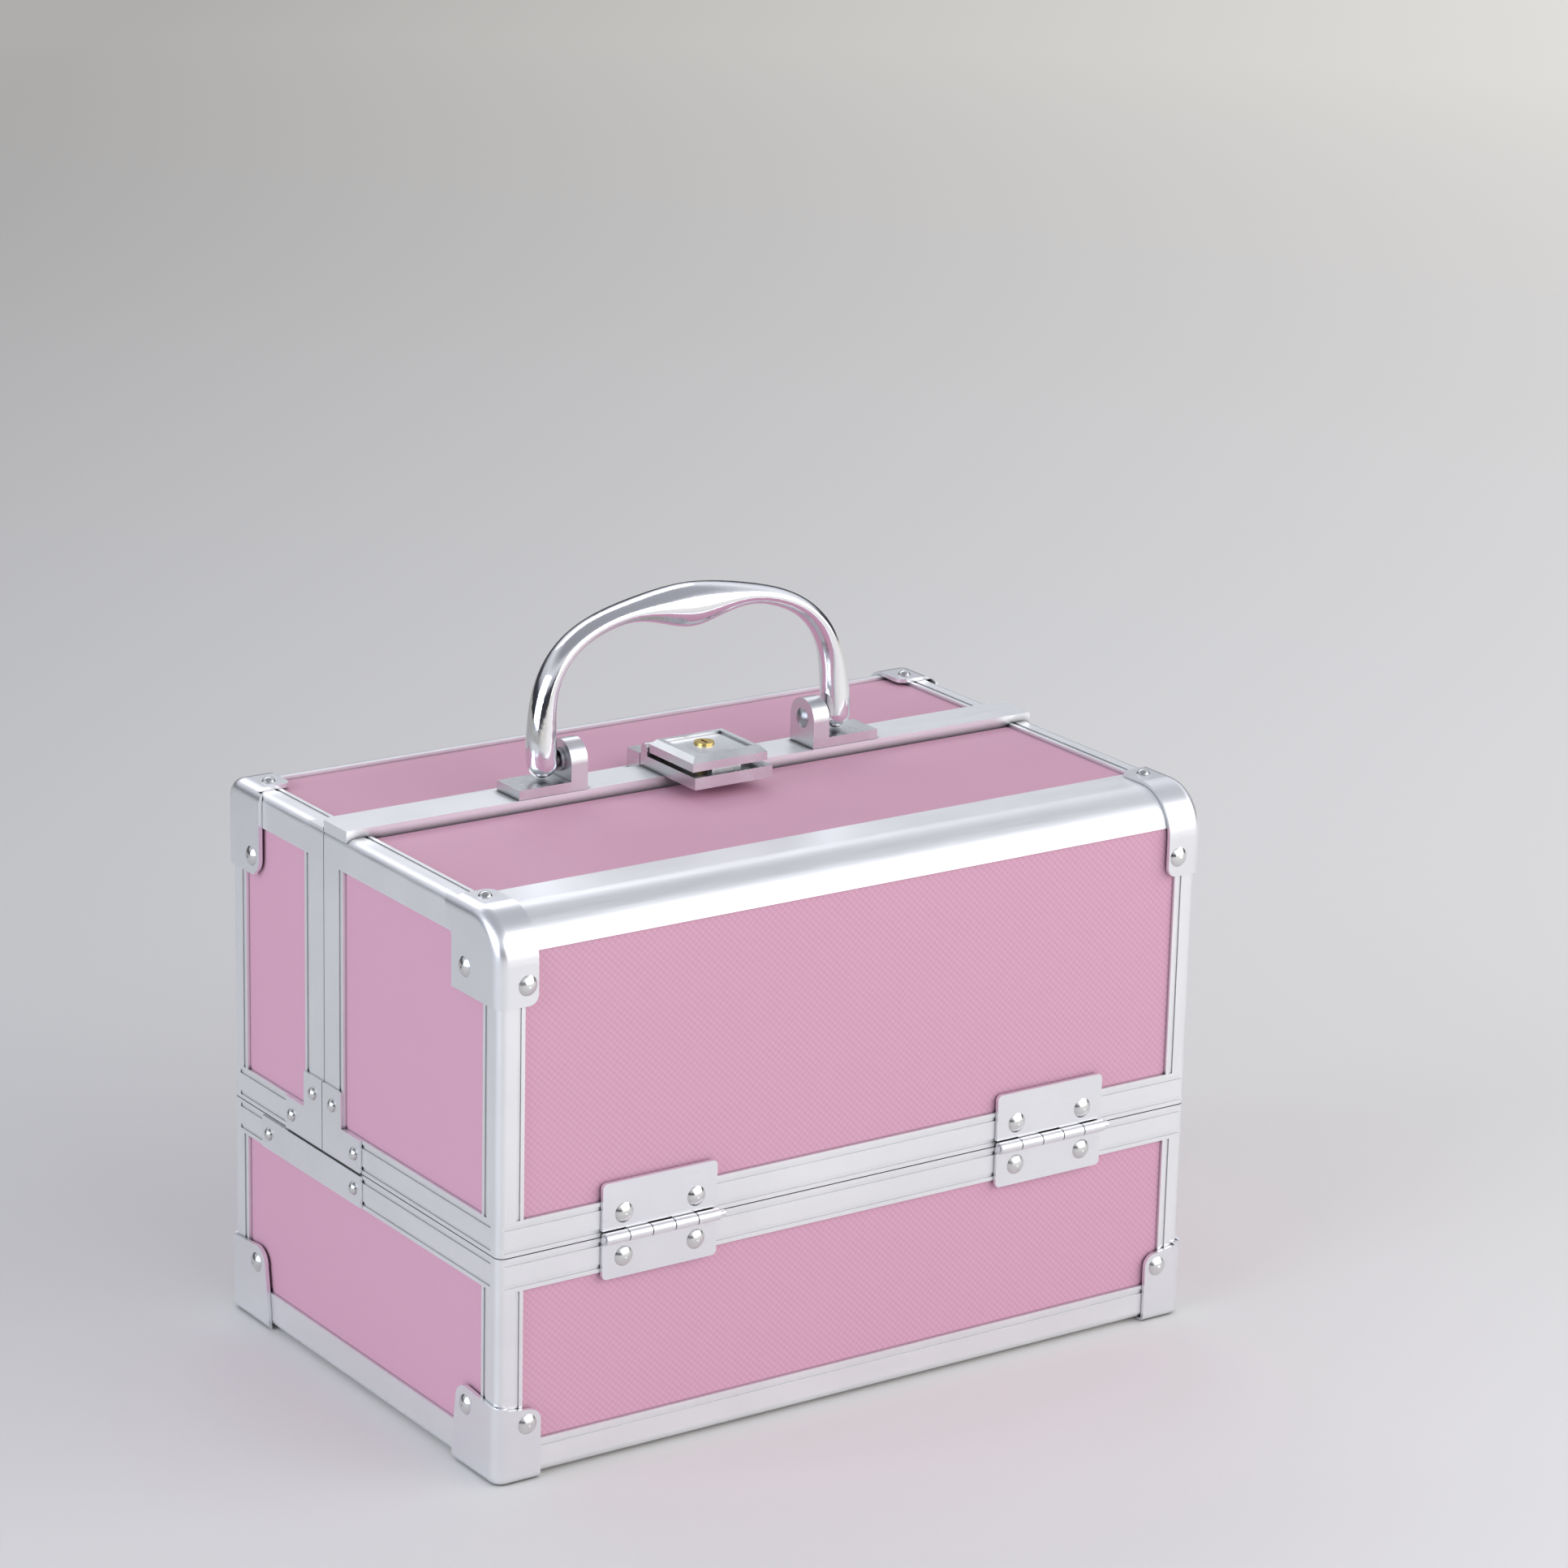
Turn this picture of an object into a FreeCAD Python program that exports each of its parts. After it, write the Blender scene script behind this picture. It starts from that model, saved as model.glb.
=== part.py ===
"""Two-lid aluminium-framed vanity case with a swing handle, a flap latch and swing-out trays.

Millimetres, +Z up, +X along the case, -Y towards the front. The origin is the centre of the
case's footprint, on the plane it stands on.
"""
import FreeCAD, Part
import math
import os

V = FreeCAD.Vector

# Overall frame of the case
CASE_LENGTH = 240.0
CASE_DEPTH = 152.0
CASE_HEIGHT = 166.0
SEAM_HEIGHT = 68.0        # plane between the base and the lids
FRONT_LID_DEPTH = 97.0    # the rear lid takes the rest of the depth
FRONT_EDGE_RADIUS = 13.0  # long top edge of the front lid
REAR_EDGE_RADIUS = 5.0    # long top edge of the rear lid

# Boards and clearances
PANEL = 3.5
LINING = 1.0
CLEAR = 0.3               # gap between parts that move past each other
RUN_FIT = 0.05            # radial clearance of a pin in its own bearing
OPEN_FIT = 0.5            # radial clearance of an arm's stud in a tray

# Aluminium frame
LIP = 1.0                 # thickness of the frame over a board
INNER_LIP = 5.0           # height of the lip behind the board
POST_FRONT = 8.0
POST_END = 9.0
POST_RADIUS = 2.6         # upright corners and top end edges
SEAM_RAIL = 10.3          # height of a rail on either side of the seam
FOOT_RAIL = 10.6
FOOT_RAIL_CORE = 3.0
FOOT_RAIL_LIP = 8.0
FOOT_RADIUS = 2.5
GROOVE_WIDTH = 1.2
GROOVE_DEPTH = 0.35
GROOVE_FROM_EDGE = 1.8
ROUND_FRONT = 10.0        # reach of the rounded edge down the face
FRONT_ROUND_TOP = 24.0    # reach of the edge profile over the top of the front lid
REAR_ROUND_TOP = 6.5
END_TOP_FACE = 10.0
END_TOP_FLAT = 8.0
SEAM_STRIP = 11.0
STRIP_WIDTH = 13.0        # raised strip that carries the handle and the latch
STRIP_PROUD = 2.5
REAR_STRIP_WIDTH = 8.0
POST_SHORT = 3.0          # a lid's post stops this far under the rounded edge

# Pressed corner caps
CAP = 1.2
CAP_FRONT = 11.5
CAP_DROP = 25.0
FRONT_CAP_TOP = 24.0      # reach over the top
REAR_CAP_TOP = 16.0
# edge of a lid cap's end ear, as distance in from the face and height over the cap's lower edge:
# at the top of the case, at its waist, round the rivet, at the lower edge
FRONT_CAP_EAR = ((29.0, CAP_DROP), (21.8, 9.5), (18.6, 4.4), (11.0, 0.0))
REAR_CAP_EAR = ((18.9, CAP_DROP), (18.9, 5.6), (17.4, 1.7), (13.5, 0.0))
# edges of a foot cap's two ears, from the sole up to its rivet and on to the corner
FOOT_CAP_FRONT = 13.4
FOOT_EAR_FRONT = ((FOOT_CAP_FRONT, 17.9), (12.3, 20.7), (9.4, 21.9))
FOOT_CAP_END = 22.8
FOOT_EAR_END = ((20.9, 19.6), (19.4, 23.5), (15.5, 25.1))
FOOT_EAR_WIDE = 6.0       # height up to which the end ear keeps its width
FOOT_CAP_CORNER = 23.5    # height at the corner
EAR_RADIUS = 3.0          # corner of an ear on the front or top

# Rivets
RIVET_R = 3.0
RIVET_H = 1.3
SMALL_RIVET_R = 2.0
CAP_RIVET_IN = 8.0        # front rivet of a lid cap, from the end of the case
CAP_RIVET_UP = 6.0        # and over its lower edge
FRONT_CAP_END_RIVET = (17.0, 7.6)
REAR_CAP_END_RIVET = (14.2, 5.4)
TOP_RIVET_IN = 6.5
TOP_RIVET_BACK = 5.0
FOOT_RIVET_IN = 9.0
FOOT_RIVET_UP = 17.6
FOOT_END_RIVET = (15.5, 19.6)

# Hinges
HINGE_AT = 68.0           # from the middle of the case to each hinge
LEAF_WIDTH = 38.0
LEAF_UP = 16.0
LEAF_DOWN = 12.6
LEAF_CORNER = 1.5
LEAF = 1.2
KNUCKLE_R = 1.75
HINGE_PIN_R = 0.9
KNUCKLES = 5
PIN_TAIL = 2.0
BARREL_OUT = 2.1          # hinge axis outside the face of the case
LEAF_RIVET_X = 12.0
LEAF_RIVET_Z = 6.5

# Brackets and plates on the ends
BRACKET = 0.8
BRACKET_ARM = 21.5
BRACKET_RISE = 11.0
TIE_LENGTH = 58.0
TIE_BACK = 36.0
TIE_RIVET_IN = 4.0
BRACKET_RIVET_IN = 3.5

# Handle
HANDLE_PIVOT_X = 51.5
HANDLE_PIVOT_UP = 8.3     # above the strip
HANDLE_UPRIGHT = -90.0    # slope of a leg at its pivot, degrees
HANDLE_LEG_R = 4.6        # round foot of a leg, centred on its pivot
HANDLE_LEG_STEP = 0.05    # the ball at the foot is this much smaller
HANDLE_LEAN = 4.0         # towards the back, where friction holds it
HANDLE_PIN_R = 2.0
HANDLE_PIN_HEAD = 1.0     # head's radius over the pin's
HANDLE_COLLAR_R = 3.3     # spacer on the pin between a leg and its ear
EAR_GAP = 1.6
EAR = 5.6
BRACKET_BASE = 3.0
BRACKET_WIDE = 12.4
BRACKET_LONG = 23.2
# centre of each section from the middle outwards: (x, height over pivot, slope, half height, half width)
HANDLE_SECTIONS = (
    (0.0, 39.9, 0.0, 6.6, 7.0),
    (10.0, 40.5, -2.0, 5.2, 6.6),
    (21.0, 40.4, -9.0, 3.3, 5.6),
    (32.0, 37.8, -22.0, 2.9, 5.0),
    (40.5, 33.4, -37.0, 2.9, 4.8),
    (46.5, 27.2, -56.0, 3.1, 4.7),
    (50.0, 19.4, -75.0, 3.6, 4.6),
    (51.3, 11.0, -86.0, 4.2, 4.6),
)

# Latch
LATCH_HALF = 13.5
LATCH_LENGTH = 29.5
LATCH_BASE = 3.6          # thickness over the strip
FLAP_HALF = 13.0
FLAP_THICK = 4.2
FLAP_GAP = 1.2
FLAP_LENGTH = 25.5
FLAP_FRAME = 3.2
FLAP_RECESS = 0.8
FLAP_HOLLOW = 1.4
FLAP_KNUCKLE_R = 1.7
FLAP_ARM_HALF = 8.5       # half width of the flap's middle knuckle
FLAP_CHAMFER = 1.6
LATCH_PIN_R = 0.8
LOCK_R = 3.0
LOCK_FROM_FRONT = 14.0    # from the flap's front edge
LOCK_PROUD = 0.6
LOCK_SLOT_HALF = 0.4
LOCK_SLOT_REACH = 1.6
LOCK_SLOT_DEPTH = 1.0
TONGUE_HALF = 5.0
TONGUE = 2.5
TONGUE_INTO_FLAP = 1.0
KEEPER_LONG = 7.0

# Trays and their arms
TRAY_WALL = 1.5
DIVIDER_DROP = 4.0        # dividers stop this far under the rim
TRAY_FRONT = 13.0         # from the hinge axis inwards
FRONT_TRAY_TO_SPLIT = 8.1
REAR_TRAY_TO_SPLIT = 5.1
TRAY_SIDE_GAP = 3.5       # from a board to the end of a tray
TRAY_UNDER_PIVOT = 8.0
LOWER_PIVOT = (20.0, 10.0)
UPPER_PIVOT = (52.0, 44.0)
LOWER_TRAY_HEIGHT = 30.0
UPPER_TRAY_HEIGHT = 34.0
REAR_TRAY_HEIGHT = 40.0
FRONT_ARM_OFFSET = (30.0, -4.0)
REAR_STUD_TO_BACK = 5.2    # from the rear tray's back to its stud
ARM = 1.5
ARM_HALF = 3.6
ARM_TO_TRAY = 0.6
TRAY_PIN_R = 1.5
TRAY_PIN_HEAD_R = 2.8
TRAY_PIN_HEAD = 0.9

# Not sizes of the object
OVER = 1.0                # how far a cut runs past the face it opens
NEAR = 1e-6               # distance at which two places are the same
SECTION_POINTS = 16       # points round one section of the handle

# Values that follow from the sizes above
HX = CASE_LENGTH / 2
HY = CASE_DEPTH / 2
WALL = LIP + PANEL
FLOOR = CAP                               # the caps are the feet
BASE_TOP = SEAM_HEIGHT - CLEAR / 2
LID_LOW = SEAM_HEIGHT + CLEAR / 2
REAR_LID_DEPTH = CASE_DEPTH - FRONT_LID_DEPTH
SPLIT_Y = FRONT_LID_DEPTH - HY
BOARD_TOP = CASE_HEIGHT - LIP
STRIP_TOP = CASE_HEIGHT + STRIP_PROUD
STRIP_Y = SPLIT_Y - CLEAR / 2 - STRIP_WIDTH / 2
PIVOT_Z = STRIP_TOP + HANDLE_PIVOT_UP
AXIS_Y = -HY - BARREL_OUT                 # hinge axis of the front lid
FRONT_TRAY_BACK = FRONT_LID_DEPTH + BARREL_OUT - FRONT_TRAY_TO_SPLIT
REAR_TRAY_BACK = REAR_LID_DEPTH + BARREL_OUT - REAR_TRAY_TO_SPLIT
REAR_ARM_OFFSET = (REAR_TRAY_BACK - REAR_STUD_TO_BACK - LOWER_PIVOT[0], FRONT_ARM_OFFSET[1])
TRAY_HALF = HX - WALL - TRAY_SIDE_GAP
ARM_X = TRAY_HALF + ARM_TO_TRAY


def box(x0, x1, y0, y1, z0, z1):
    return Part.makeBox(x1 - x0, y1 - y0, z1 - z0, V(x0, y0, z0))


def rod(radius, start, end):
    """Cylinder from one point to another."""
    along = end - start
    return Part.makeCylinder(radius, along.Length, start, along)


def other_end(shape):
    """The same piece at the other end of the case."""
    return shape.mirror(V(0, 0, 0), V(1, 0, 0))


def other_side(shape):
    """The same piece at the back of the case."""
    return shape.mirror(V(0, 0, 0), V(0, 1, 0))


def both_ends(shapes):
    return shapes + [other_end(shape) for shape in shapes]


def four_corners(shapes):
    ends = both_ends(shapes)
    return ends + [other_side(shape) for shape in ends]


def round_upright_corner(shape, x, y, radius):
    """Fillet the upright edges that stand at x, y."""
    edges = [edge for edge in shape.Edges
             if all(abs(v.X - x) < NEAR and abs(v.Y - y) < NEAR for v in edge.Vertexes)]
    return shape.makeFillet(radius, edges)


def round_straight_edges(shape, y, z, radius):
    """Fillet the edges that run along X at y, z."""
    edges = [edge for edge in shape.Edges
             if all(abs(v.Y - y) < NEAR and abs(v.Z - z) < NEAR for v in edge.Vertexes)]
    return shape.makeFillet(radius, edges)


def dome(at, outwards, radius=RIVET_R, height=RIVET_H):
    """Rivet head that stands on a face."""
    sphere_r = (radius ** 2 + height ** 2) / (2 * height)
    half = math.asin(radius / sphere_r) / 2
    bulge = V(sphere_r * math.sin(half), 0, sphere_r * math.cos(half) - sphere_r + height)
    base = Part.LineSegment(V(0, 0, 0), V(radius, 0, 0)).toShape()
    arc = Part.Arc(V(radius, 0, 0), bulge, V(0, 0, height)).toShape()
    axis = Part.LineSegment(V(0, 0, height), V(0, 0, 0)).toShape()
    head = Part.Face(Part.Wire([base, arc, axis])).revolve(V(0, 0, 0), V(0, 0, 1), 360)
    head.Placement = FreeCAD.Placement(at, FreeCAD.Rotation(V(0, 0, 1), outwards))
    return head


def save(name, shapes):
    """Write one node; separate solids of one node stay separate."""
    solids = [solid for shape in shapes for solid in shape.Solids]
    Part.Compound(solids).exportStep("parts/" + name + ".step")


# ---------------------------------------------------------------- base

def groove_x(shape, face_y, z, half_length):
    """Shallow line along a rail on the front or rear."""
    cut = box(-half_length, half_length, face_y - GROOVE_DEPTH, face_y + GROOVE_DEPTH,
              z - GROOVE_WIDTH / 2, z + GROOVE_WIDTH / 2)
    return shape.cut(cut)


def seam_rail_long(z_seam, up):
    """Rail along the front at the seam: it wraps the board's edge."""
    z_far = z_seam + up * SEAM_RAIL
    z_core = z_seam + up * LIP
    z_inner = z_core + up * INNER_LIP
    low, high = min(z_seam, z_far), max(z_seam, z_far)
    face = box(-HX, HX, -HY, -HY + LIP, low, high)
    edge = box(-HX, HX, -HY, -HY + WALL, min(z_seam, z_core), max(z_seam, z_core))
    inner_x = HX - WALL - LIP
    inner = box(-inner_x, inner_x, -HY + WALL, -HY + WALL + LIP, min(z_seam, z_inner), max(z_seam, z_inner))
    returns = both_ends([box(-HX, -HX + LIP, -HY, -HY + WALL, low, high)])
    rail = face.fuse([edge, inner] + returns).removeSplitter()
    rail = groove_x(rail, -HY, z_far - up * GROOVE_FROM_EDGE, HX + OVER)
    rail = groove_x(rail, -HY, z_seam + up * GROOVE_FROM_EDGE, HX + OVER)
    return rail


def seam_rail_end(z_seam, up, y0, y1):
    """Rail along the left end at the seam."""
    z_far = z_seam + up * SEAM_RAIL
    z_core = z_seam + up * LIP
    z_inner = z_core + up * INNER_LIP
    face = box(-HX, -HX + LIP, y0, y1, min(z_seam, z_far), max(z_seam, z_far))
    edge = box(-HX, -HX + WALL, y0, y1, min(z_seam, z_core), max(z_seam, z_core))
    inner = box(-HX + WALL, -HX + WALL + LIP, y0, y1, min(z_seam, z_inner), max(z_seam, z_inner))
    rail = face.fuse([edge, inner]).removeSplitter()
    for z in (z_far - up * GROOVE_FROM_EDGE, z_seam + up * GROOVE_FROM_EDGE):
        rail = rail.cut(box(-HX - OVER, -HX + GROOVE_DEPTH, y0 - OVER, y1 + OVER,
                            z - GROOVE_WIDTH / 2, z + GROOVE_WIDTH / 2))
    return rail


def post(z0, z1, core_z0, core_z1):
    """Upright corner extrusion: a core between the boards and a lip over each of them."""
    front = box(-HX, -HX + POST_FRONT, -HY, -HY + LIP, z0, z1)
    end = box(-HX, -HX + LIP, -HY, -HY + POST_END, z0, z1)
    core = box(-HX + LIP, -HX + WALL, -HY + LIP, -HY + WALL, core_z0, core_z1)
    upright = front.fuse([end, core]).removeSplitter()
    upright = round_upright_corner(upright, -HX, -HY, POST_RADIUS)
    x = -HX + POST_FRONT - GROOVE_FROM_EDGE
    y = -HY + POST_END - GROOVE_FROM_EDGE
    half = GROOVE_WIDTH / 2
    upright = upright.cut(box(x - half, x + half, -HY - OVER, -HY + GROOVE_DEPTH, z0, z1))
    return upright.cut(box(-HX - OVER, -HX + GROOVE_DEPTH, y - half, y + half, z0, z1))


def foot_rail_long():
    """Bottom rail of the front: lip over the board and lip under the floor."""
    face = box(-HX, HX, -HY, -HY + LIP, FLOOR, FLOOR + FOOT_RAIL)
    core = box(-HX, HX, -HY, -HY + WALL, FLOOR, FLOOR + FOOT_RAIL_CORE)
    under = box(-HX + WALL, HX - WALL, -HY, -HY + FOOT_RAIL_LIP, FLOOR, FLOOR + LIP)
    returns = both_ends([box(-HX, -HX + LIP, -HY, -HY + WALL, FLOOR, FLOOR + FOOT_RAIL)])
    rail = face.fuse([core, under] + returns).removeSplitter()
    rail = round_straight_edges(rail, -HY, FLOOR, FOOT_RADIUS).common(case_core())
    return groove_x(rail, -HY, FLOOR + FOOT_RAIL - GROOVE_FROM_EDGE, HX + OVER)


def foot_rail_end():
    y = HY - WALL
    face = box(-HX, -HX + LIP, -y, y, FLOOR, FLOOR + FOOT_RAIL)
    core = box(-HX, -HX + WALL, -y, y, FLOOR, FLOOR + FOOT_RAIL_CORE)
    y_under = HY - FOOT_RAIL_LIP
    under = box(-HX, -HX + FOOT_RAIL_LIP, -y_under, y_under, FLOOR, FLOOR + LIP)
    rail = face.fuse([core, under]).removeSplitter()
    edges = [e for e in rail.Edges
             if all(abs(v.X + HX) < NEAR and abs(v.Z - FLOOR) < NEAR for v in e.Vertexes)]
    return rail.makeFillet(FOOT_RADIUS, edges)


def foot_cap():
    """Pressed cap on a bottom corner; its underside stands on the table."""
    x0, y0 = -HX - CAP, -HY - CAP
    block = box(x0, HX, y0, HY, 0, CASE_HEIGHT)
    block = round_upright_corner(block, x0, y0, POST_RADIUS + CAP)
    bend_end = POST_RADIUS + CAP - NEAR
    low = [e for e in block.Edges
           if e.BoundBox.ZMax < NEAR and (e.BoundBox.XMin < x0 + bend_end or e.BoundBox.YMin < y0 + NEAR)
           and (e.BoundBox.XMax < HX - NEAR or e.BoundBox.YMax < HY - NEAR)]
    block = block.makeFillet(FOOT_RADIUS, low)
    front = outline([(x0, 0), (-HX + FOOT_CAP_FRONT, 0)],
                    [(-HX + across, up) for across, up in FOOT_EAR_FRONT], [(x0, FOOT_CAP_CORNER)],
                    lambda across, up: V(across, y0, up))
    end = outline([(y0, 0), (-HY + FOOT_CAP_END, 0), (-HY + FOOT_CAP_END, FOOT_EAR_WIDE)],
                  [(-HY + across, up) for across, up in FOOT_EAR_END], [(y0, FOOT_CAP_CORNER)],
                  lambda across, up: V(x0, across, up))
    front_ear = front.extrude(V(0, CAP, 0))
    end_ear = end.extrude(V(CAP, 0, 0))
    sole = box(x0, -HX + FOOT_CAP_FRONT, y0, -HY + FOOT_CAP_FRONT, 0, CAP)
    bend = box(x0, -HX + POST_RADIUS, y0, -HY + POST_RADIUS, 0, FOOT_CAP_CORNER)
    cap = front_ear.fuse([end_ear, sole, bend]).removeSplitter()
    return cap.common(block).cut(case_core())


def outline(before, arc, after, to_place):
    """Flat face: straight runs, an arc through three points, and straight runs back to the start."""
    places = [to_place(*point) for point in before + arc[:1]]
    edges = [Part.LineSegment(a, b).toShape() for a, b in zip(places, places[1:])]
    edges.append(Part.Arc(*[to_place(*point) for point in arc]).toShape())
    places = [to_place(*point) for point in arc[-1:] + after + before[:1]]
    edges += [Part.LineSegment(a, b).toShape() for a, b in zip(places, places[1:])]
    return Part.Face(Part.Wire(edges))


def case_core():
    """The base's outside, with the rounded corners of its posts and foot rails."""
    core = box(-HX, HX, -HY, HY, FLOOR, BASE_TOP)
    core = round_upright_corner(core, -HX, -HY, POST_RADIUS)
    return round_upright_corner(core, HX, -HY, POST_RADIUS)


def make_base():
    inner_x, inner_y = HX - WALL, HY - WALL
    board_low = FLOOR + FOOT_RAIL_CORE
    board_high = BASE_TOP - LIP
    rail_foot = FLOOR + FOOT_RAIL
    rail_low = BASE_TOP - SEAM_RAIL
    front = box(-inner_x, inner_x, -HY + LIP, -inner_y, board_low, board_high)
    left = box(-HX + LIP, -inner_x, -inner_y, inner_y, board_low, board_high)
    save("base_front_panel", [front])
    save("base_rear_panel", [other_side(front)])
    save("base_left_panel", [left])
    save("base_right_panel", [other_end(left)])
    floor = box(-inner_x, inner_x, -inner_y, inner_y, FLOOR + LIP, FLOOR + LIP + PANEL)
    save("base_bottom_panel", [floor])
    lining_low = FLOOR + LIP + PANEL
    lining_high = BASE_TOP - LIP - INNER_LIP - CLEAR
    outer = box(-inner_x, inner_x, -inner_y, inner_y, lining_low, lining_high)
    hollow = box(-inner_x + LINING, inner_x - LINING, -inner_y + LINING, inner_y - LINING,
                 lining_low + LINING, lining_high + OVER)
    save("base_lining", [outer.cut(hollow)])
    long_rail = seam_rail_long(BASE_TOP, -1).common(case_core())
    save("base_top_rails_long", [long_rail, other_side(long_rail)])
    save("base_top_rails_end", both_ends([seam_rail_end(BASE_TOP, -1, -inner_y, inner_y)]))
    foot = foot_rail_long()
    save("base_foot_rails_long", [foot, other_side(foot)])
    save("base_foot_rails_end", both_ends([foot_rail_end()]))
    save("base_corner_posts", four_corners([post(rail_foot, rail_low, board_low, board_high)]))
    save("base_corner_caps", four_corners([foot_cap()]))


# ---------------------------------------------------------------- lids

class Lid:
    """What the two lids differ in; both are built as a front lid."""

    def __init__(self, depth, edge_radius, round_top, cap_top, cap_ear, cap_rivet, has_strip):
        self.depth = depth
        self.edge_radius = edge_radius
        self.round_top = round_top
        self.cap_top = cap_top
        self.cap_ear = cap_ear
        self.cap_rivet = cap_rivet
        self.has_strip = has_strip
        self.split = -HY + depth - CLEAR / 2


FRONT_LID = Lid(FRONT_LID_DEPTH, FRONT_EDGE_RADIUS, FRONT_ROUND_TOP, FRONT_CAP_TOP, FRONT_CAP_EAR,
                FRONT_CAP_END_RIVET, True)
REAR_LID = Lid(REAR_LID_DEPTH, REAR_EDGE_RADIUS, REAR_ROUND_TOP, REAR_CAP_TOP, REAR_CAP_EAR,
               REAR_CAP_END_RIVET, False)


def side_view(lid, inset, back_y, low_z, x0, x1):
    """Solid of the lid's rounded side view, set in from the outside by inset."""
    y0, z1, r = -HY + inset, CASE_HEIGHT - inset, lid.edge_radius - inset
    if r <= 0:
        return box(x0, x1, y0, back_y, low_z, z1)
    centre = V(x0, y0 + r, z1 - r)
    corners = [V(x0, y0, low_z), V(x0, y0, z1 - r), V(x0, y0 + r, z1),
               V(x0, back_y, z1), V(x0, back_y, low_z)]
    middle = centre + V(0, -r * math.sqrt(0.5), r * math.sqrt(0.5))
    edges = [Part.LineSegment(corners[0], corners[1]).toShape(),
             Part.Arc(corners[1], middle, corners[2]).toShape(),
             Part.LineSegment(corners[2], corners[3]).toShape(),
             Part.LineSegment(corners[3], corners[4]).toShape(),
             Part.LineSegment(corners[4], corners[0]).toShape()]
    return Part.Face(Part.Wire(edges)).extrude(V(x1 - x0, 0, 0))


def rounded_ends(lid, inset, back_y, low_z, radius):
    """Outside of the lid, set in by inset, with the edges round its two ends rounded."""
    x1 = HX - inset
    block = side_view(lid, inset, back_y, low_z, -x1, x1)
    edges = [e for e in block.Edges
             if e.BoundBox.XMax - e.BoundBox.XMin < NEAR and e.BoundBox.ZMax > low_z + NEAR
             and e.BoundBox.YMin < back_y - NEAR]
    return block.makeFillet(radius, edges)


def lid_core(lid):
    return rounded_ends(lid, 0, lid.split, LID_LOW, POST_RADIUS)


def lid_cap(lid):
    """Pressed cap over a top corner of a lid."""
    x0, x_in = -HX - CAP, -HX + CAP_FRONT
    y0, y_back = -HY - CAP, -HY + lid.cap_top
    low, high = CASE_HEIGHT - CAP_DROP, CASE_HEIGHT + CAP
    outside = rounded_ends(lid, -CAP, lid.split, LID_LOW, POST_RADIUS + CAP)
    wrap = box(x0, x_in, y0, y_back, low, high)
    corners = [e for e in wrap.Edges
               if all(abs(v.X - x_in) < NEAR and abs(v.Z - low) < NEAR for v in e.Vertexes)
               or all(abs(v.X - x_in) < NEAR and abs(v.Y - y_back) < NEAR for v in e.Vertexes)]
    wrap = wrap.makeFillet(EAR_RADIUS, corners)
    inside = box(-HX, HX, -HY + lid.edge_radius, HY, low - OVER, CASE_HEIGHT)
    wrap = wrap.cut(inside)
    top = lid.cap_ear[0][0]
    edge = [(-HY + across, low + up) for across, up in lid.cap_ear[1:]]
    ear = outline([(y0, low), (y0, high), (-HY + top, high)], edge, [],
                  lambda across, up: V(x0, across, up)).extrude(V(CAP, 0, 0))
    return wrap.fuse(ear).removeSplitter().common(outside).cut(lid_core(lid))


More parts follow.
